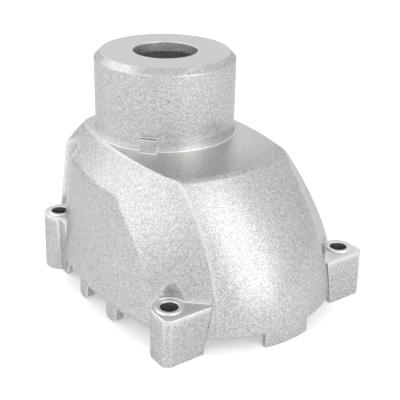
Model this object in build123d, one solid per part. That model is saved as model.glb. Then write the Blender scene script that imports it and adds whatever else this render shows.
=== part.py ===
"""Gearbox housing of a hand-held power tool: one aluminium pressure die casting.

A clamping collar stands on a hollow body whose front is domed. Flat facets cut the
corners of the body, and four screw bosses hang at its corners down to the joint face.

Millimetres, +Z up. Origin: centre of the four-screw square, on the joint face (z = 0).
-Y is the domed front. The body is mirror-symmetric about the plane x = 0; only the
index lug at the foot of the collar stands on one side.
"""
from math import radians, sqrt, tan
import os

from build123d import *

os.makedirs("parts", exist_ok=True)

# Collar and bore
COLLAR_BACK = 17.7            # collar axis behind the centre of the screw square
COLLAR_D = 43.0               # clamping neck
COLLAR_TOP_Z = 69.0
NECK_L = 18.2                 # length of the true cylinder below the chamfer
NECK_FLARE = 0.35             # foot of the collar wider by this in radius
COLLAR_CHAMFER_W = 1.86
COLLAR_CHAMFER_H = 1.9
BORE_D = 19.6                 # spindle bore through the top lip
LIP_T = 3.0
COLLAR_WALL = 3.5             # round the hollow below the bearing seat
SEAT_LEDGE = 2.0              # bearing seat narrower than that hollow by this in radius
BEARING_H = 9.0
LUG_W = 5.0                   # index lug at the foot of the collar
LUG_H = 4.1                   # above the shoulder
LUG_PROUD = 1.4
LUG_SUNK = 1.6                # rooted this deep in the collar and the shoulder
LUG_ANGLE = 46.0              # degrees from the front towards the left

# Shoulder round the collar, and the sloping side facets
SHOULDER_FRONT_R = 40.7       # about the collar axis, where shoulder and dome would meet
SHOULDER_FRONT_Z = 43.45
SHOULDER_FALL = 0.055         # drop per millimetre of radius
SHOULDER_ROUND = 6.0
SHOULDER_SKIRT = 0.97         # outward run per millimetre of drop in front of the shoulder
BEVEL_R = 26.1                # bevel round the back of the shoulder, about the collar axis
BEVEL_RUN = 0.93              # outward run per millimetre of drop
BEVEL_Z = 44.3
FACET_EDGE_Z = 44.3           # upper edge of the side facets
FACET_EDGE_X = 22.66
FACET_EDGE_Y = 8.9            # where that edge stands furthest out
FACET_EDGE_R = 89.0
FACET_DROP = 0.75             # fall per millimetre outwards
FACET_ROUND = 2.6
CORNER_ROUND = 2.4            # upper and outer edges of the front corner facets
BACK_EDGE_ROUND = 2.0

# Lines of the body at three heights
LEVELS = (6.0, 24.0, 38.0)
FRONT_Y = (-44.55, -38.25, -27.8)       # crown of the dome
FRONT_R = (38.0, 40.0, 41.6)            # plan radius of the dome
CREASE_X = (20.5, 19.15, 18.9)          # edge of the dome
STEP = 0.7                              # dome stands proud of the corner facets
STEP_RUN = 0.35
RIDGE = ((33.35, -27.0), (30.75, -19.9), (28.9, -7.0))
SIDE_X = (37.2, 34.9, 32.0)             # furthest-out line of the side walls
SIDE_Y = (0.0, 1.5, 6.5)
SIDE_R = (96.0, 80.0, 70.0)             # plan radius of the side walls
BACK_CREASE = ((27.0, 38.0), (27.1, 36.6), (27.0, 34.2))
BACK_Y = (44.6, 44.2, 43.4)             # crown of the back wall

# Walls and rims
WALL = 2.5
CEILING_T = 3.2
CAVITY_RAISED = 1.0           # inner form taken this much higher up, for the leaning dome
RIM_Z = 4.6                   # lower edge of the dome
SIDE_RIM_Z = 7.0              # lower edge of the side walls
LIP_SET_BACK = 1.0
LIP_END_Z = 5.3
TAB_W = 15.0
TAB_T = 1.5
FIN_W = 4.8
FIN_T = 2.6
FIN_ROUND = 1.9
FIN_Y = (-8.6, 7.3, 22.3)
FIN_END_Z = (0.5, 0.5, 1.4)

# Screw bosses
SCREW_SPACING = 62.0
SCREW_HOLE_D = 5.2
BOSS_EDGE = 4.8               # hole axis to the outer side
BOSS_DRAFT = 0.4              # foot of the outer side further out than its top
BOSS_ROUND = 4.7              # upright corners of the bosses, away from the front face
FRONT_BOSS_Z = 14.35
FRONT_BOSS_EDGE = 6.05        # hole axis to the front face
FRONT_BOSS_CORNER_X = 1.75    # cut corner between the front face and the outer side
FRONT_BOSS_CORNER_Y = 1.35
FRONT_BOSS_INNER_X = (23.8, 21.1)       # inner end at the joint face and at the top
BACK_BOSS_Z = 18.1
BACK_BOSS_INNER_X = (24.3, 22.0)
RING_D = 7.4                  # raised screw seat round each hole
RING_H = 0.4
DRIVER_D = 10.0               # scallop in the wall above each boss, for the driver
FRONT_DRIVER_DRAFT = 5.0      # degrees, wider upwards
BACK_DRIVER_DRAFT = 3.5
SCALLOP_T = 2.0               # wall behind the scallop
WEB_OUTER_X = 33.6            # web from each back boss forward to the side wall
WEB_FRONT_Y = 22.6

FOOT_Z = 0.0
CLEAR = 60.0                  # reach of the trimming shapes beyond the casting
LOFT_BOTTOM_Z = -2.0
LOFT_TOP_Z = 46.0
FACET_LOW_Z = 32.0
SIDE_REACH = 0.7              # of the radius
FACET_REACH = 46.0
LOFT_STEPS = 7

HALF_SPACING = SCREW_SPACING / 2
HOLLOW_D = COLLAR_D - 2 * COLLAR_WALL
BEARING_D = HOLLOW_D - 2 * SEAT_LEDGE


def at_height(values, z):
    """Value of a body line at height z, through its values at the three levels."""
    low, middle, high = LEVELS
    a, b, c = values
    return (a * (z - middle) * (z - high) / ((low - middle) * (low - high))
            + b * (z - low) * (z - high) / ((middle - low) * (middle - high))
            + c * (z - low) * (z - middle) / ((high - low) * (high - middle)))


def point_at_height(points, z):
    return tuple(at_height(values, z) for values in zip(*points))


def at_z(point, z):
    return Vector(point[0], point[1], z)


def mirrored(point):
    return (-point[0], point[1])


def arc(start, middle, end, z):
    return Edge.make_three_point_arc(at_z(start, z), at_z(middle, z), at_z(end, z))


def line(start, end, z):
    return Edge.make_line(at_z(start, z), at_z(end, z))


def beyond(start, end, x):
    """Point at x on the straight line from start through end."""
    share = (x - start[0]) / (end[0] - start[0])
    return (x, start[1] + share * (end[1] - start[1]))


def arc_ends(vertex, radius, reach):
    """Ends of a plan arc bowed to the right, the reach in front of and behind its vertex."""
    x = vertex[0] - radius + sqrt(radius ** 2 - reach ** 2)
    return (x, vertex[1] - reach), (x, vertex[1] + reach)


def body_points(z):
    """Plan points of the body at height z, right half, in order from front to back."""
    front_y = at_height(FRONT_Y, z)
    front_r = at_height(FRONT_R, z)
    crease_x = at_height(CREASE_X, z)
    crease_y = front_y + front_r - sqrt(front_r ** 2 - crease_x ** 2)
    return {
        "front": (0, front_y),
        "crease": (crease_x, crease_y),
        "foot": (crease_x + STEP_RUN, crease_y + STEP),
        "ridge": point_at_height(RIDGE, z),
        "side": (at_height(SIDE_X, z), at_height(SIDE_Y, z)),
        "back_crease": point_at_height(BACK_CREASE, z),
        "back": (0, at_height(BACK_Y, z)),
    }


def brought_in(points, inset):
    """The same points moved towards the middle of their section by the inset."""
    half_width = points["side"][0]
    half_length = (points["back"][1] - points["front"][1]) / 2
    middle_y = (points["back"][1] + points["front"][1]) / 2
    across = 1 - inset / half_width
    along = 1 - inset / half_length
    return {name: (x * across, middle_y + (y - middle_y) * along)
            for name, (x, y) in points.items()}


def ends_section(z, inset, raised):
    """Dome, steps, corner facets and back at height z, wider than the side walls."""
    p = brought_in(body_points(z + raised), inset)
    outer_x = p["side"][0] + WALL
    front_outer = beyond(p["foot"], p["ridge"], outer_x)
    back_outer = (outer_x, p["back_crease"][1])
    edges = [
        arc(mirrored(p["crease"]), p["front"], p["crease"], z),
        line(p["crease"], p["foot"], z),
        line(p["foot"], front_outer, z),
        line(front_outer, back_outer, z),
        line(back_outer, p["back_crease"], z),
        arc(p["back_crease"], p["back"], mirrored(p["back_crease"]), z),
        line(mirrored(p["back_crease"]), mirrored(back_outer), z),
        line(mirrored(back_outer), mirrored(front_outer), z),
        line(mirrored(front_outer), mirrored(p["foot"]), z),
        line(mirrored(p["foot"]), mirrored(p["crease"]), z),
    ]
    return Face(Wire(edges))


def sides_section(z, inset, raised):
    """Bowed side walls at height z, running straight on to front and back."""
    vertex = brought_in(body_points(z + raised), inset)["side"]
    radius = at_height(SIDE_R, z + raised)
    front_end, back_end = arc_ends(vertex, radius, SIDE_REACH * radius)
    edges = [
        arc(front_end, vertex, back_end, z),
        line(back_end, mirrored(back_end), z),
        arc(mirrored(back_end), mirrored(vertex), mirrored(front_end), z),
        line(mirrored(front_end), front_end, z),
    ]
    return Face(Wire(edges))


def facet_section(z):
    """Outline of the sloping side facets at height z, straight at front and back."""
    out = (FACET_EDGE_Z - z) / FACET_DROP
    radius = FACET_EDGE_R + out
    vertex = (FACET_EDGE_X + out, FACET_EDGE_Y)
    front_end, back_end = arc_ends(vertex, radius, FACET_REACH)
    edges = [
        arc(front_end, vertex, back_end, z),
        line(back_end, mirrored(back_end), z),
        arc(mirrored(back_end), mirrored(vertex), mirrored(front_end), z),
        line(mirrored(front_end), front_end, z),
    ]
    return Face(Wire(edges))


def loft_heights():
    return [LOFT_BOTTOM_Z + (LOFT_TOP_Z - LOFT_BOTTOM_Z) * i / (LOFT_STEPS - 1)
            for i in range(LOFT_STEPS)]


def shoulder_height(radius):
    """Height of the shoulder at this radius about the collar axis."""
    return SHOULDER_FRONT_Z + SHOULDER_FALL * (SHOULDER_FRONT_R - radius)


def shoulder_cap(drop):
    """Shallow cone of the shoulder, turned about the collar axis, rounded at the front."""
    skirt_r = SHOULDER_FRONT_R + SHOULDER_SKIRT * (SHOULDER_FRONT_Z - LOFT_BOTTOM_Z)
    outline = Polyline(
        (0, LOFT_BOTTOM_Z),
        (0, shoulder_height(0)),
        (SHOULDER_FRONT_R, SHOULDER_FRONT_Z),
        (skirt_r, LOFT_BOTTOM_Z),
        close=True,
    )
    profile = make_face(Plane.XZ * outline)
    corner = profile.vertices().sort_by_distance(
        Vector(SHOULDER_FRONT_R, 0, SHOULDER_FRONT_Z))[0]
    profile = fillet(corner, SHOULDER_ROUND)
    return Pos(0, COLLAR_BACK, -drop) * revolve(profile, Axis.Z)


def back_bevel():
    """What the bevel takes off behind the collar, widening downwards about its axis."""
    drop = BEVEL_Z - FACET_LOW_Z
    reach = LOFT_TOP_Z - BEVEL_Z
    outline = Polyline(
        (BEVEL_R - reach * BEVEL_RUN, LOFT_TOP_Z),
        (BEVEL_R + drop * BEVEL_RUN, FACET_LOW_Z),
        (CLEAR, FACET_LOW_Z),
        (CLEAR, LOFT_TOP_Z),
        close=True,
    )
    ring = Pos(0, COLLAR_BACK, 0) * revolve(make_face(Plane.XZ * outline), Axis.Z)
    return ring & block(-CLEAR, CLEAR, COLLAR_BACK, CLEAR + COLLAR_BACK, FACET_LOW_Z, LOFT_TOP_Z)


def tall_block(z_from, z_to):
    return Pos(0, 0, z_from) * Box(
        4 * CLEAR, 4 * CLEAR, z_to - z_from, align=(Align.CENTER, Align.CENTER, Align.MIN))


def hull(inset, raised, drop, rounded):
    """Form of the body; the inner one is brought in and lowered by the wall."""
    heights = loft_heights()
    sides = loft([sides_section(z, inset, raised) for z in heights])
    facets = loft([facet_section(z) for z in (FACET_LOW_Z, LOFT_TOP_Z)], ruled=True)
    roof = facets + tall_block(LOFT_BOTTOM_Z, FACET_LOW_Z)
    roof = Pos(0, 0, -drop) * roof & shoulder_cap(drop)
    sides = sides & roof
    if rounded:
        sides = soften_facets(sides)
    ends = loft([ends_section(z, inset, raised) for z in heights])
    return sides & ends


def long_edges(solid, low_z, high_z):
    """Edges that run from front to back between two heights."""
    return [edge for edge in solid.edges()
            if edge.bounding_box().size.Y > HALF_SPACING
            and edge.bounding_box().size.X < HALF_SPACING
            and edge.bounding_box().min.Z > low_z
            and edge.bounding_box().max.Z < high_z]


def soften_facets(solid):
    """Round the sloping facets where they meet the side walls."""
    return fillet(long_edges(solid, FACET_LOW_Z, FACET_EDGE_Z), FACET_ROUND)


def cone(x, y, z_from, z_to, diameter, draft):
    """Upright cylinder about (x, y), wider upwards by the draft in degrees."""
    height = z_to - z_from
    top = diameter / 2 + height * tan(radians(draft))
    return Pos(x, y, z_from) * Cone(
        diameter / 2, top, height, align=(Align.CENTER, Align.CENTER, Align.MIN))


def post(x, y, z_from, z_to, diameter):
    return Pos(x, y, z_from) * Cylinder(
        diameter / 2, z_to - z_from, align=(Align.CENTER, Align.CENTER, Align.MIN))


def both_sides(shape):
    return shape + mirror(shape, Plane.YZ)


def driver_paths(widened):
    """Paths of the driver down to the four screws, each widening upwards."""
    front = cone(HALF_SPACING, -HALF_SPACING, FRONT_BOSS_Z, LOFT_TOP_Z,
                 DRIVER_D + widened, FRONT_DRIVER_DRAFT)
    back = cone(HALF_SPACING, HALF_SPACING, BACK_BOSS_Z, LOFT_TOP_Z,
                DRIVER_D + widened, BACK_DRIVER_DRAFT)
    if widened:
        front += post(HALF_SPACING, -HALF_SPACING, LOFT_BOTTOM_Z, FRONT_BOSS_Z,
                      DRIVER_D + widened)
        back += post(HALF_SPACING, HALF_SPACING, LOFT_BOTTOM_Z, BACK_BOSS_Z,
                     DRIVER_D + widened)
    return both_sides(front + back)


def block(x_from, x_to, y_from, y_to, z_from, z_to):
    return Pos(x_from, y_from, z_from) * Box(
        x_to - x_from, y_to - y_from, z_to - z_from, align=(Align.MIN, Align.MIN, Align.MIN))


def upright_edges(solid, height):
    return [e for e in solid.edges() if e.bounding_box().size.Z > height / 2
            and e.center().X > HALF_SPACING]


def screw_seat(y, top_z):
    """Raised ring at the hole of a right-hand boss, rooted in the boss below it."""
    return post(HALF_SPACING, y, top_z - RING_H, top_z + RING_H, RING_D)


def front_boss():
    """Squared boss at the right front corner, from the joint face up."""
    outer_x = HALF_SPACING + BOSS_EDGE
    face_y = -HALF_SPACING - FRONT_BOSS_EDGE
    wide_x, narrow_x = FRONT_BOSS_INNER_X
    inside_y = -HALF_SPACING + BOSS_EDGE
    foot_x = outer_x + BOSS_DRAFT
    outline = Polyline(
        (wide_x, FOOT_Z), (foot_x, FOOT_Z), (outer_x, FRONT_BOSS_Z), (narrow_x, FRONT_BOSS_Z),
        close=True)
    profile = Pos(0, face_y, 0) * (Plane.XZ * make_face(outline))
    solid = extrude(profile, inside_y - face_y, dir=(0, 1, 0))
    rear = [e for e in upright_edges(solid, FRONT_BOSS_Z) if e.center().Y > -HALF_SPACING]
    solid = fillet(rear, BOSS_ROUND)
    corner = [e for e in upright_edges(solid, FRONT_BOSS_Z) if e.center().Y < -HALF_SPACING]
    solid = chamfer(corner, FRONT_BOSS_CORNER_X, FRONT_BOSS_CORNER_Y, reference=front_face(solid))
    return solid + screw_seat(-HALF_SPACING, FRONT_BOSS_Z)


def front_face(solid):
    return solid.faces().sort_by(Axis.Y)[0]


def back_boss():
    """Rounded boss at the right back corner, webbed to the body."""
    outer_x = HALF_SPACING + BOSS_EDGE
    wide_x, narrow_x = BACK_BOSS_INNER_X
    foot_x = outer_x + BOSS_DRAFT
    outline = Polyline(
        (wide_x, FOOT_Z), (foot_x, FOOT_Z), (outer_x, BACK_BOSS_Z), (narrow_x, BACK_BOSS_Z),
        close=True)
    profile = Pos(0, HALF_SPACING + BOSS_EDGE, 0) * (Plane.XZ * make_face(outline))
    solid = extrude(profile, 2 * BOSS_EDGE, dir=(0, -1, 0))
    solid = fillet(upright_edges(solid, BACK_BOSS_Z), BOSS_ROUND)
    solid += screw_seat(HALF_SPACING, BACK_BOSS_Z)
    return solid + block(wide_x, WEB_OUTER_X, WEB_FRONT_Y, HALF_SPACING, FOOT_Z, BACK_BOSS_Z)


def soften_corners(solid):
    """Round the edges of the corner facets, and the back edge of the shoulder.

    The round of each upper edge runs on down the ridge below it.
    """
    edges = solid.edges()
    upper = [e for e in edges if e.bounding_box().max.Y < 0 and e.length > 2 * BOSS_EDGE
             and e.bounding_box().min.Z > FACET_LOW_Z and abs(e.center().X) > CREASE_X[0]]
    solid = fillet(upper, CORNER_ROUND)
    back = [e for e in solid.edges() if e.center().Y > BACK_CREASE[2][1]
            and e.bounding_box().min.Z > SHOULDER_FRONT_Z and e.length > HALF_SPACING]
    return fillet(back, BACK_EDGE_ROUND)


def body_with_walls():
    """Outer form with its rims, hollowed out from below."""
    outer = soften_corners(hull(0, 0, 0, rounded=True)) - back_bevel()
    skin_in = hull(LIP_SET_BACK, 0, LIP_SET_BACK, rounded=False)
    fin_in = hull(LIP_SET_BACK + FIN_T, 0, LIP_SET_BACK, rounded=False)
    tab_in = hull(TAB_T, 0, TAB_T, rounded=False)
    cavity = hull(WALL, CAVITY_RAISED, CEILING_T, rounded=False)

    body = outer & tall_block(RIM_Z, COLLAR_TOP_Z)
    body -= driver_paths(0)
    side_zone = both_sides(block(HALF_SPACING - BOSS_EDGE, CLEAR, -HALF_SPACING + BOSS_EDGE,
                                 HALF_SPACING - BOSS_EDGE, LOFT_BOTTOM_Z, SIDE_RIM_Z))
    lip_zone = both_sides(block(HALF_SPACING - BOSS_EDGE, CLEAR, -HALF_SPACING + BOSS_EDGE,
                                HALF_SPACING - BOSS_EDGE, LIP_END_Z, SIDE_RIM_Z))
    body -= side_zone
    body += skin_in & lip_zone
    body += both_sides(front_boss()) + both_sides(back_boss())
    body += (outer - tab_in) & block(-TAB_W / 2, TAB_W / 2, -CLEAR, 0, FOOT_Z, RIM_Z)

    body -= cavity - driver_paths(2 * SCALLOP_T)
    fins = [fin(y, end_z) for y, end_z in zip(FIN_Y, FIN_END_Z)]
    body += (skin_in - fin_in) & both_sides(fins[0] + fins[1] + fins[2])
    return body


def fin(y, end_z):
    """Reach of one locating fin: a tongue with rounded lower corners, seen from the side."""
    top_z = SIDE_RIM_Z + FIN_W / 2
    outline = Plane.YZ * (Pos(y, (end_z + top_z) / 2) * RectangleRounded(
        FIN_W, top_z - end_z, FIN_ROUND))
    return Pos(HALF_SPACING / 2, 0, 0) * extrude(outline, HALF_SPACING)


def collar():
    """Clamping collar on the shoulder, chamfered at the top and flared at the foot."""
    neck_r = COLLAR_D / 2
    foot_r = neck_r + NECK_FLARE
    neck_top = COLLAR_TOP_Z - COLLAR_CHAMFER_H
    foot_z = shoulder_height(foot_r)
    root_z = foot_z - CEILING_T / 2
    outline = Polyline(
        (0, root_z),
        (foot_r, root_z),
        (foot_r, foot_z),
        (neck_r, neck_top - NECK_L),
        (neck_r, neck_top),
        (neck_r - COLLAR_CHAMFER_W, COLLAR_TOP_Z),
        (0, COLLAR_TOP_Z),
        close=True,
    )
    return Pos(0, COLLAR_BACK, 0) * revolve(make_face(Plane.XZ * outline), Axis.Z)


def collar_hollow():
    """Bore through the lip, bearing seat under it and the relief down to the cavity."""
    seat_top = COLLAR_TOP_Z - LIP_T
    seat_foot = seat_top - BEARING_H
    return (post(0, COLLAR_BACK, seat_top, COLLAR_TOP_Z + LIP_T, BORE_D)
            + post(0, COLLAR_BACK, seat_foot, seat_top, BEARING_D)
            + post(0, COLLAR_BACK, SHOULDER_FRONT_Z - 2 * CEILING_T, seat_foot, HOLLOW_D))


def index_lug():
    foot_r = COLLAR_D / 2 + NECK_FLARE
    foot_z = shoulder_height(foot_r)
    lug = block(-LUG_W / 2, LUG_W / 2, -foot_r - LUG_PROUD, -foot_r + LUG_SUNK,
                foot_z - LUG_SUNK, foot_z + LUG_H)
    return Pos(0, COLLAR_BACK, 0) * (Rot(0, 0, -LUG_ANGLE) * lug)


def screw_holes():
    holes = None
    for x in (-HALF_SPACING, HALF_SPACING):
        for y, top in ((-HALF_SPACING, FRONT_BOSS_Z), (HALF_SPACING, BACK_BOSS_Z)):
            hole = post(x, y, LOFT_BOTTOM_Z, top + SCREW_HOLE_D, SCREW_HOLE_D)
            holes = hole if holes is None else holes + hole
    return holes


def gearbox_housing():
    body = body_with_walls()
    body += collar() + index_lug()
    body -= collar_hollow()
    body -= screw_holes()
    return body


housing = gearbox_housing()
housing.label = "gearbox_housing"
export_step(housing, "parts/gearbox_housing.step")
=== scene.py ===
import math

import bpy
from bpy.props import FloatProperty, FloatVectorProperty, PointerProperty
from mathutils import Matrix, Vector


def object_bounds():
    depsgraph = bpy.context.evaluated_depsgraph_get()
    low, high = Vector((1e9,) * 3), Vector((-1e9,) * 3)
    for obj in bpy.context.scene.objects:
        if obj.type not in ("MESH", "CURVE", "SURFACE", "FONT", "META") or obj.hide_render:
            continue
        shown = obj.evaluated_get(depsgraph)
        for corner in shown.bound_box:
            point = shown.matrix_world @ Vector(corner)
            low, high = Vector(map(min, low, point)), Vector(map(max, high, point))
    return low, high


bl_info = {
    "name": "Gearbox Housing",
    "version": (1, 0, 0),
    "blender": (4, 5, 0),
    "location": "View3D > Sidebar > Housing",
    "description": "Finish, light and camera for a die-cast gearbox housing",
    "category": "Object",
}

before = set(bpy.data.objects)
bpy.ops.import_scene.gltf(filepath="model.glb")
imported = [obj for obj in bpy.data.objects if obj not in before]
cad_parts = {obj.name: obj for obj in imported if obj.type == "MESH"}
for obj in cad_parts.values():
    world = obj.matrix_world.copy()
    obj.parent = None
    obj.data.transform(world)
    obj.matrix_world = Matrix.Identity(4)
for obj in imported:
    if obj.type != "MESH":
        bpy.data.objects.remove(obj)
CAD_BOX = [list(corner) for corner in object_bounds()]

CASTING = "gearbox_housing"

# Places on the casting, in metres; a pair is where a place starts and where it is full
COLLAR_AXIS_Y = 0.0177
COLLAR_TOP_Z = CAD_BOX[1][2]
BORE_WALL_RADIUS = 0.0102
LIP_UNDERSIDE_Z = (0.0655, 0.0662)
SHOULDER_EDGE_Z = (0.0436, 0.0442)
SHOULDER_TOP_Z = 0.0460
CREST_START_Z = (0.006, 0.016)
CREST_END_Z = 0.0425

# Screws from the middle along X and Y, and the limits of the boss tops round them
SCREW_OFFSET = 0.031
BOSS_REACH = 0.011
BOSS_LIMIT_Z = 0.03

# Depth of a machined face, and half the widths over which places fade out
FACE_DEPTH = 0.00004
WALL_FADE = 0.0001
BOSS_FADE = 0.0005
BOSS_LIMIT_FADE = 0.001
BAND_FADE = 0.0008

# Sizes of the patterns, in metres, and the fine rings that a turning tool leaves
PATCH_SIZE = 0.0035
CLOUD_SIZE = 0.02
CREST_RADIUS = 0.0035
GRAIN_HEIGHT = 0.0001
RINGS_PER_METRE = 7000.0

# Levels of the soft noise between which a cloud comes in
CLOUD_RANGE = (0.35, 0.65)

# Colours of single places, and how much of each shows: painted light on the level shoulder and the
# boss tops, a painted highlight on the cast crests
CLOUD_SHARE = 0.06
SHOULDER_PAINTED_LIGHT = (0.86, 0.86, 0.85)
SHOULDER_SHARE = 0.36
BOSS_TOP_PAINTED_LIGHT = (0.88, 0.88, 0.87)
BOSS_TOP_SHARE = 0.42
CREST_HIGHLIGHT_SHARE = 0.5
BORE_DARK_GRAIN = (0.45, 0.44, 0.42)
BORE_LIGHT_GRAIN = (1.0, 1.0, 0.98)
TURNED_RING = (0.70, 0.70, 0.69)
TURNED_RING_SHARE = 0.16
GRAZING_TINT = (0.80, 0.80, 0.80, 1.0)

# Rubbed wear and painted highlight of a sharp edge: the least, and what patches add
WEAR_AND_HIGHLIGHT_LEAST = 0.30
WEAR_AND_HIGHLIGHT_IN_PATCHES = 0.6

# How far the rounded normal leaves the plain one, at the foot and the crest of an edge
SHARP_EDGE = (0.01, 0.16)
CAST_EDGE = (0.003, 0.06)
EDGE_SAMPLES = 8

# Upward part of the normal at which a face starts to count as level, and at which it is
LEVEL_FACE = (0.93, 0.98)

# Roughness of the machined faces, how much the grain's own differs, and how much of its
# relief a tool takes off
MACHINED_ROUGHNESS = 0.36
GRAIN_ROUGHNESS = 0.12
MACHINED_OFF = 0.9

# Softboxes, seen from the middle of the casting: azimuth from +Y towards +X and elevation
# in degrees, width and height in metres, power in watts, colour
NEUTRAL = (1.0, 1.0, 1.0)
WARM = (1.0, 0.97, 0.95)
SOFTBOXES = (
    ("front_softbox", 169.0, 27.0, (0.46, 1.10), 2.8, WARM),
    ("left_softbox", 262.0, 36.0, (0.40, 0.40), 0.70, NEUTRAL),
    ("side_softbox", 298.0, 40.0, (0.42, 0.50), 0.60, NEUTRAL),
    ("back_left_softbox", 334.0, 44.0, (0.50, 0.42), 0.75, NEUTRAL),
)
SOFTBOX_DISTANCE = 0.85
LIGHT_MIDDLE = Vector((0.0, 0.0, 0.03))

# Half the floor's width and the nearest place the camera sees, in metres; sensor in millimetres
FLOOR_HALF = 2.5
CLIP_START = 0.01
SENSOR_WIDTH = 36.0


class HousingFinish(bpy.types.PropertyGroup):
    """Colours and grain of the casting."""

    skin_light: FloatVectorProperty(
        name="Skin, light grain", description="Colour of the bright grains of the blasted skin",
        subtype="COLOR", size=3, default=(0.665, 0.665, 0.658))
    skin_dark: FloatVectorProperty(
        name="Skin, dark grain", description="Colour of the dull grains of the blasted skin",
        subtype="COLOR", size=3, default=(0.27, 0.27, 0.267))
    skin_roughness: FloatProperty(
        name="Skin roughness", description="Roughness of the blasted skin",
        subtype="FACTOR", default=0.34, min=0.0, max=1.0)
    machined: FloatVectorProperty(
        name="Machined face", description="Colour of the turned collar face and the cut joint face",
        subtype="COLOR", size=3, default=(0.65, 0.65, 0.65))
    grain: FloatProperty(
        name="Grain size", description="Width of one grain of the blasted skin",
        default=0.0002, min=0.0001, max=0.003, unit="LENGTH")
    grain_depth: FloatProperty(
        name="Grain depth", description="Strength of the relief of the blasted skin",
        default=0.3, min=0.0, max=2.0)
    # Colour of the sharp edges, partly rubbed wear and partly a painted highlight; also used for the
    # random lighter clouds and the painted highlight on the cast crests
    edge_wear_and_highlight: FloatVectorProperty(
        name="Worn edge", description="Colour of edges that are rubbed bright",
        subtype="COLOR", size=3, default=(0.90, 0.90, 0.88))
    edge_softness: FloatProperty(
        name="Edge softness", description="Radius at which edges catch the light",
        default=0.0006, min=0.0, max=0.003, unit="LENGTH")


class HousingStage(bpy.types.PropertyGroup):
    """Camera, light and floor."""

    camera_place: FloatVectorProperty(
        name="Camera place", description="Where the camera stands", subtype="XYZ", unit="LENGTH",
        size=3, default=(-0.14071, -0.19282, 0.1367))
    azimuth: FloatProperty(
        name="View azimuth", description="Direction of view, from +Y towards +X",
        subtype="ANGLE", default=math.radians(36.349))
    elevation: FloatProperty(
        name="View elevation", description="Angle at which the camera looks down",
        subtype="ANGLE", default=math.radians(24.857))
    roll: FloatProperty(
        name="Camera roll", description="Turn of the camera about its line of sight",
        subtype="ANGLE", default=math.radians(1.295))
    lens: FloatProperty(
        name="Lens", description="Focal length on a 36 mm sensor, in millimetres",
        default=77.33, min=10.0, max=300.0)
    floor_colour: FloatVectorProperty(
        name="Floor", description="Colour of the floor", subtype="COLOR", size=3,
        default=(0.80, 0.80, 0.80))
    floor_glow: FloatProperty(
        name="Floor white", description="Light of the floor itself, shown only where it is seen",
        default=0.42, min=0.0, max=1.0)
    studio_level: FloatProperty(
        name="Studio level", description="Strength of the even light from all round",
        default=0.75, min=0.0, max=2.0)


def nodes_of(owner):
    """Emptied node tree of a material or world."""
    owner.use_nodes = True
    tree = owner.node_tree
    tree.nodes.clear()
    return tree


def link(tree, source, target):
    tree.links.new(source, target)


def math_node(tree, operation, first, second=None, clamp=False):
    """Result of one operation; each value is a number or a socket."""
    node = tree.nodes.new("ShaderNodeMath")
    node.operation = operation
    node.use_clamp = clamp
    for index, value in enumerate((first, second)):
        if value is None:
            continue
        if isinstance(value, bpy.types.NodeSocket):
            link(tree, value, node.inputs[index])
        else:
            node.inputs[index].default_value = value
    return node.outputs[0]


def product(tree, first, *others):
    """All the values multiplied."""
    for other in others:
        first = math_node(tree, "MULTIPLY", first, other)
    return first


def mix_colour(tree, share, first, second):
    """The first colour, and as much of the second as the share says."""
    node = tree.nodes.new("ShaderNodeMix")
    node.data_type = "RGBA"
    link(tree, share, node.inputs[0])
    for socket, colour in ((node.inputs[6], first), (node.inputs[7], second)):
        if isinstance(colour, bpy.types.NodeSocket):
            link(tree, colour, socket)
        else:
            socket.default_value = (*colour, 1.0)
    return node.outputs[2]


def ramp(tree, value, low, high):
    """Zero below low, one above high."""
    node = tree.nodes.new("ShaderNodeMapRange")
    node.inputs["From Min"].default_value = low
    node.inputs["From Max"].default_value = high
    link(tree, value, node.inputs["Value"])
    return node.outputs["Result"]


def below(tree, value, limit, fade):
    """One where the value is under the limit, zero above it."""
    return math_node(tree, "SUBTRACT", 1.0, ramp(tree, value, limit - fade, limit + fade))


def axes_of(tree, coordinates):
    """The three parts of a place or direction."""
    split = tree.nodes.new("ShaderNodeSeparateXYZ")
    link(tree, coordinates, split.inputs[0])
    return split.outputs


def noise(tree, coordinates, size):
    """Soft patches of this size, from 0 to 1."""
    node = tree.nodes.new("ShaderNodeTexNoise")
    node.inputs["Scale"].default_value = 1.0 / size
    link(tree, coordinates, node.inputs["Vector"])
    return node.outputs["Fac"]


def blasted_grain(tree, coordinates, size):
    """A random level from 0 to 1 in each small cell of the surface."""
    cells = tree.nodes.new("ShaderNodeTexVoronoi")
    cells.inputs["Scale"].default_value = 1.0 / size
    link(tree, coordinates, cells.inputs["Vector"])
    split = tree.nodes.new("ShaderNodeSeparateColor")
    link(tree, cells.outputs["Color"], split.inputs[0])
    return split.outputs[0]


def distance_from_axis(tree, x, y, centre_x, centre_y):
    """Distance from an upright axis."""
    off_x = math_node(tree, "SUBTRACT", x, centre_x)
    off_y = math_node(tree, "SUBTRACT", y, centre_y)
    squares = math_node(tree, "ADD", product(tree, off_x, off_x), product(tree, off_y, off_y))
    return math_node(tree, "SQRT", squares)


def softened_normal(tree, radius):
    """Normal of the surface with its edges rounded to this radius."""
    node = tree.nodes.new("ShaderNodeBevel")
    node.samples = EDGE_SAMPLES
    node.inputs["Radius"].default_value = radius
    return node.outputs[0]


def edge_mask(tree, radius, foot_and_crest):
    """Zero on open faces, one on the crest of an edge, from a softened against a plain normal."""
    plain = tree.nodes.new("ShaderNodeNewGeometry")
    dot = tree.nodes.new("ShaderNodeVectorMath")
    dot.operation = "DOT_PRODUCT"
    link(tree, softened_normal(tree, radius), dot.inputs[0])
    link(tree, plain.outputs["Normal"], dot.inputs[1])
    return ramp(tree, math_node(tree, "SUBTRACT", 1.0, dot.outputs["Value"]), *foot_and_crest)


def facing_up(tree):
    """One on level faces, zero on sloping ones."""
    geometry = tree.nodes.new("ShaderNodeNewGeometry")
    upwards = axes_of(tree, geometry.outputs["Normal"])[2]
    return ramp(tree, upwards, *LEVEL_FACE)


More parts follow.
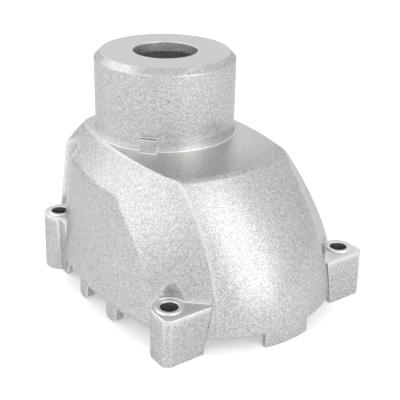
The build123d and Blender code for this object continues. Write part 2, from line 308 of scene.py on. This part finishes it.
def machined_faces(tree, z):
    """One on the turned face of the collar and on the cut joint face."""
    turned = ramp(tree, z, COLLAR_TOP_Z - 3 * FACE_DEPTH, COLLAR_TOP_Z - FACE_DEPTH)
    joint = below(tree, z, 2 * FACE_DEPTH, FACE_DEPTH)
    return math_node(tree, "MAXIMUM", turned, joint)


def bore_wall(tree, radius, z):
    """One on the wall of the bore through the collar's lip."""
    return product(tree, below(tree, radius, BORE_WALL_RADIUS, WALL_FADE),
                   ramp(tree, z, *LIP_UNDERSIDE_Z))


def shoulder_top(tree, z):
    """One on the level part of the shoulder, round the foot of the collar, where painted light goes.
    """
    return product(tree, ramp(tree, z, *SHOULDER_EDGE_Z), below(tree, z, SHOULDER_TOP_Z, BAND_FADE))


def boss_tops(tree, x, y, z):
    """One on the flat tops of the four screw bosses, where painted light goes."""
    screw = distance_from_axis(tree, math_node(tree, "ABSOLUTE", x), math_node(tree, "ABSOLUTE", y),
                               SCREW_OFFSET, SCREW_OFFSET)
    return product(tree, below(tree, screw, BOSS_REACH, BOSS_FADE), facing_up(tree),
                   below(tree, z, BOSS_LIMIT_Z, BOSS_LIMIT_FADE))


def painted_crest_highlights(tree, z):
    """One on the crests of the body's cast edges, between the joint face and the shoulder, where a
    painted highlight goes.
    """
    return product(tree, edge_mask(tree, CREST_RADIUS, CAST_EDGE), ramp(tree, z, *CREST_START_Z),
                   below(tree, z, CREST_END_Z, BAND_FADE))


def blasted_skin(tree, finish, grain, coordinates, in_bore):
    """Colour of the skin as cast and blasted, with random lighter clouds, painted light on the
    shoulder and the boss tops, and a painted highlight on the cast crests.
    """
    x, y, z = axes_of(tree, coordinates)
    skin = mix_colour(tree, grain, finish.skin_dark, finish.skin_light)
    clouds = ramp(tree, noise(tree, coordinates, CLOUD_SIZE), *CLOUD_RANGE)
    # Random lighter clouds, then painted light on the shoulder and the boss tops, and a painted
    # highlight on the cast crests
    for place, share, lighter in (
            (clouds, CLOUD_SHARE, finish.edge_wear_and_highlight),
            (shoulder_top(tree, z), SHOULDER_SHARE, SHOULDER_PAINTED_LIGHT),
            (boss_tops(tree, x, y, z), BOSS_TOP_SHARE, BOSS_TOP_PAINTED_LIGHT),
            (painted_crest_highlights(tree, z), CREST_HIGHLIGHT_SHARE, finish.edge_wear_and_highlight)):
        skin = mix_colour(tree, product(tree, place, share), skin, lighter)
    return mix_colour(tree, in_bore, skin, mix_colour(tree, grain, BORE_DARK_GRAIN, BORE_LIGHT_GRAIN))


def turned_face(tree, finish, radius):
    """Colour of a machined face, with fine rings about the collar axis."""
    rings = tree.nodes.new("ShaderNodeTexNoise")
    rings.noise_dimensions = "1D"
    rings.inputs["Scale"].default_value = RINGS_PER_METRE
    rings.inputs["Detail"].default_value = 1.0
    link(tree, radius, rings.inputs["W"])
    share = product(tree, rings.outputs["Fac"], TURNED_RING_SHARE)
    return mix_colour(tree, share, finish.machined, TURNED_RING)


def worn_and_highlit_edges(tree, finish, coordinates, cut):
    """One where a sharp edge is rubbed bright and gets a painted highlight, in patches, and not on
    the machined faces.
    """
    patches = product(tree, noise(tree, coordinates, PATCH_SIZE), WEAR_AND_HIGHLIGHT_IN_PATCHES)
    wear_and_highlight_mask = product(tree, edge_mask(tree, finish.edge_softness, SHARP_EDGE),
                   math_node(tree, "ADD", WEAR_AND_HIGHLIGHT_LEAST, patches))
    return math_node(tree, "MULTIPLY", wear_and_highlight_mask, math_node(tree, "SUBTRACT", 1.0, cut), clamp=True)


def roughness(tree, finish, grain, cut):
    """Roughness that differs from grain to grain, and is even on the machined faces."""
    skin = math_node(tree, "ADD", finish.skin_roughness - GRAIN_ROUGHNESS / 2,
                     product(tree, grain, GRAIN_ROUGHNESS))
    node = tree.nodes.new("ShaderNodeMix")
    node.data_type = "FLOAT"
    link(tree, cut, node.inputs[0])
    link(tree, skin, node.inputs[2])
    node.inputs[3].default_value = MACHINED_ROUGHNESS
    return node.outputs[0]


def grain_relief(tree, finish, grain, cut, in_bore):
    """Normal with the blasted relief on softened edges; twice as deep in the bore."""
    depth = math_node(tree, "SUBTRACT", math_node(tree, "ADD", 1.0, in_bore),
                      product(tree, cut, MACHINED_OFF))
    bump = tree.nodes.new("ShaderNodeBump")
    bump.inputs["Distance"].default_value = GRAIN_HEIGHT
    bump.inputs["Strength"].default_value = finish.grain_depth
    link(tree, product(tree, grain, depth), bump.inputs["Height"])
    link(tree, softened_normal(tree, finish.edge_softness), bump.inputs["Normal"])
    return bump.outputs[0]


def cast_aluminium(finish):
    """Blasted cast skin, with turned and cut faces where a tool has been."""
    material = bpy.data.materials.new("cast_aluminium_blasted")
    tree = nodes_of(material)
    output = tree.nodes.new("ShaderNodeOutputMaterial")
    shader = tree.nodes.new("ShaderNodeBsdfPrincipled")
    link(tree, shader.outputs[0], output.inputs[0])

    coordinates = tree.nodes.new("ShaderNodeTexCoord").outputs["Object"]
    x, y, z = axes_of(tree, coordinates)
    radius = distance_from_axis(tree, x, y, 0.0, COLLAR_AXIS_Y)
    grain = blasted_grain(tree, coordinates, finish.grain)
    cut = machined_faces(tree, z)
    in_bore = bore_wall(tree, radius, z)

    skin = blasted_skin(tree, finish, grain, coordinates, in_bore)
    colour = mix_colour(tree, cut, skin, turned_face(tree, finish, radius))
    # Sharp edges made lighter: partly rubbed wear, partly a painted highlight
    colour = mix_colour(tree, worn_and_highlit_edges(tree, finish, coordinates, cut), colour, finish.edge_wear_and_highlight)
    link(tree, colour, shader.inputs["Base Color"])
    link(tree, roughness(tree, finish, grain, cut), shader.inputs["Roughness"])
    link(tree, grain_relief(tree, finish, grain, cut, in_bore), shader.inputs["Normal"])
    shader.inputs["Metallic"].default_value = 1.0
    shader.inputs["Specular Tint"].default_value = GRAZING_TINT
    return material


class HOUSING_OT_casting(bpy.types.Operator):
    """Give the casting its blasted skin and machined faces"""

    bl_idname = "housing.casting"
    bl_label = "Finish the casting"

    def execute(self, context):
        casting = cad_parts[CASTING]
        if not casting.material_slots:
            raise RuntimeError("the casting has no material slot")
        material = cast_aluminium(context.scene.housing_finish)
        for slot in casting.material_slots:
            slot.link = "OBJECT"
            slot.material = material
        return {"FINISHED"}


def seen_directly(tree):
    """One for rays of the camera and for rays off metal or through glass."""
    path = tree.nodes.new("ShaderNodeLightPath")
    seen = math_node(tree, "MAXIMUM", path.outputs["Is Camera Ray"], path.outputs["Is Glossy Ray"])
    return math_node(tree, "MAXIMUM", seen, path.outputs["Is Transmission Ray"])


def mix_by_sight(tree, unseen, seen):
    """The second shader for rays that see it directly, the first for all other light."""
    mix = tree.nodes.new("ShaderNodeMixShader")
    link(tree, seen_directly(tree), mix.inputs[0])
    link(tree, unseen, mix.inputs[1])
    link(tree, seen, mix.inputs[2])
    return mix.outputs[0]


def floor_paper(stage):
    """Pale paper that is white where it is seen, and keeps the shadow."""
    material = bpy.data.materials.new("floor_paper")
    tree = nodes_of(material)
    output = tree.nodes.new("ShaderNodeOutputMaterial")
    paper = tree.nodes.new("ShaderNodeBsdfDiffuse")
    paper.inputs["Color"].default_value = (*stage.floor_colour, 1.0)
    glow = tree.nodes.new("ShaderNodeEmission")
    glow.inputs["Strength"].default_value = stage.floor_glow
    white = tree.nodes.new("ShaderNodeAddShader")
    link(tree, paper.outputs[0], white.inputs[0])
    link(tree, glow.outputs[0], white.inputs[1])
    link(tree, mix_by_sight(tree, paper.outputs[0], white.outputs[0]), output.inputs[0])
    return material


def lay_floor(scene, stage):
    """Level floor under the casting."""
    half = FLOOR_HALF
    mesh = bpy.data.meshes.new("floor")
    mesh.from_pydata([(-half, -half, 0), (half, -half, 0), (half, half, 0), (-half, half, 0)],
                     [], [(0, 1, 2, 3)])
    mesh.materials.append(floor_paper(stage))
    floor = bpy.data.objects.new("floor", mesh)
    scene.collection.objects.link(floor)


def studio_background(tree, strength):
    """White surroundings of this strength."""
    node = tree.nodes.new("ShaderNodeBackground")
    node.inputs["Color"].default_value = (1.0, 1.0, 1.0, 1.0)
    node.inputs["Strength"].default_value = strength
    return node.outputs[0]


def direction(azimuth, elevation):
    """Unit vector; azimuth from +Y towards +X."""
    flat = math.cos(elevation)
    return Vector((math.sin(azimuth) * flat, math.cos(azimuth) * flat, math.sin(elevation)))


def add_softbox(scene, name, azimuth, elevation, size, power, colour):
    """Area lamp at the studio's distance, turned to the casting."""
    data = bpy.data.lights.new(name, "AREA")
    data.shape = "RECTANGLE"
    data.size, data.size_y = size
    data.energy = power
    data.color = colour
    lamp = bpy.data.objects.new(name, data)
    outwards = direction(math.radians(azimuth), math.radians(elevation))
    lamp.location = LIGHT_MIDDLE + SOFTBOX_DISTANCE * outwards
    lamp.rotation_mode = "QUATERNION"
    lamp.rotation_quaternion = (-outwards).to_track_quat("-Z", "Y")
    scene.collection.objects.link(lamp)


def light_studio(scene, stage):
    """Even light from all round, white where it is seen, and the softboxes."""
    world = bpy.data.worlds.new("studio")
    scene.world = world
    tree = nodes_of(world)
    output = tree.nodes.new("ShaderNodeOutputWorld")
    lit = studio_background(tree, stage.studio_level)
    white = studio_background(tree, 1.0)
    link(tree, mix_by_sight(tree, lit, white), output.inputs[0])
    for softbox in SOFTBOXES:
        add_softbox(scene, *softbox)


def place_camera(scene, stage):
    """Camera that looks down at the casting, with a small roll about its line of sight."""
    data = bpy.data.cameras.new("camera")
    data.sensor_width = SENSOR_WIDTH
    data.lens = stage.lens
    data.clip_start = CLIP_START
    camera = bpy.data.objects.new("camera", data)
    ahead = direction(stage.azimuth, -stage.elevation)
    side = Vector((math.cos(stage.azimuth), -math.sin(stage.azimuth), 0.0))
    upright = side.cross(ahead)
    right = side * math.cos(stage.roll) + upright * math.sin(stage.roll)
    up = upright * math.cos(stage.roll) - side * math.sin(stage.roll)
    turn = Matrix((right, up, -ahead)).transposed().to_4x4()
    camera.matrix_world = Matrix.Translation(Vector(stage.camera_place)) @ turn
    scene.collection.objects.link(camera)
    scene.camera = camera


class HOUSING_OT_stage(bpy.types.Operator):
    """Set the floor, the soft light and the camera"""

    bl_idname = "housing.stage"
    bl_label = "Set the stage"

    def execute(self, context):
        scene = context.scene
        lay_floor(scene, scene.housing_stage)
        light_studio(scene, scene.housing_stage)
        place_camera(scene, scene.housing_stage)
        scene.view_settings.view_transform = "Standard"
        return {"FINISHED"}


class HOUSING_PT_panel(bpy.types.Panel):
    """Sizes, colours and steps of the housing"""

    bl_label = "Gearbox housing"
    bl_idname = "HOUSING_PT_panel"
    bl_space_type = "VIEW_3D"
    bl_region_type = "UI"
    bl_category = "Housing"

    def draw(self, context):
        layout = self.layout
        for group in (context.scene.housing_finish, context.scene.housing_stage):
            for name in group.__annotations__:
                layout.prop(group, name)
        for operator in OPERATORS:
            layout.operator(operator.bl_idname)


OPERATORS = (HOUSING_OT_casting, HOUSING_OT_stage)
CLASSES = (HousingFinish, HousingStage, *OPERATORS, HOUSING_PT_panel)


def register():
    for each in CLASSES:
        bpy.utils.register_class(each)
    bpy.types.Scene.housing_finish = PointerProperty(type=HousingFinish)
    bpy.types.Scene.housing_stage = PointerProperty(type=HousingStage)


def unregister():
    del bpy.types.Scene.housing_stage
    del bpy.types.Scene.housing_finish
    for each in reversed(CLASSES):
        bpy.utils.unregister_class(each)


def main():
    register()
    bpy.ops.housing.casting()
    bpy.ops.housing.stage()


if __name__ == "__main__":
    main()
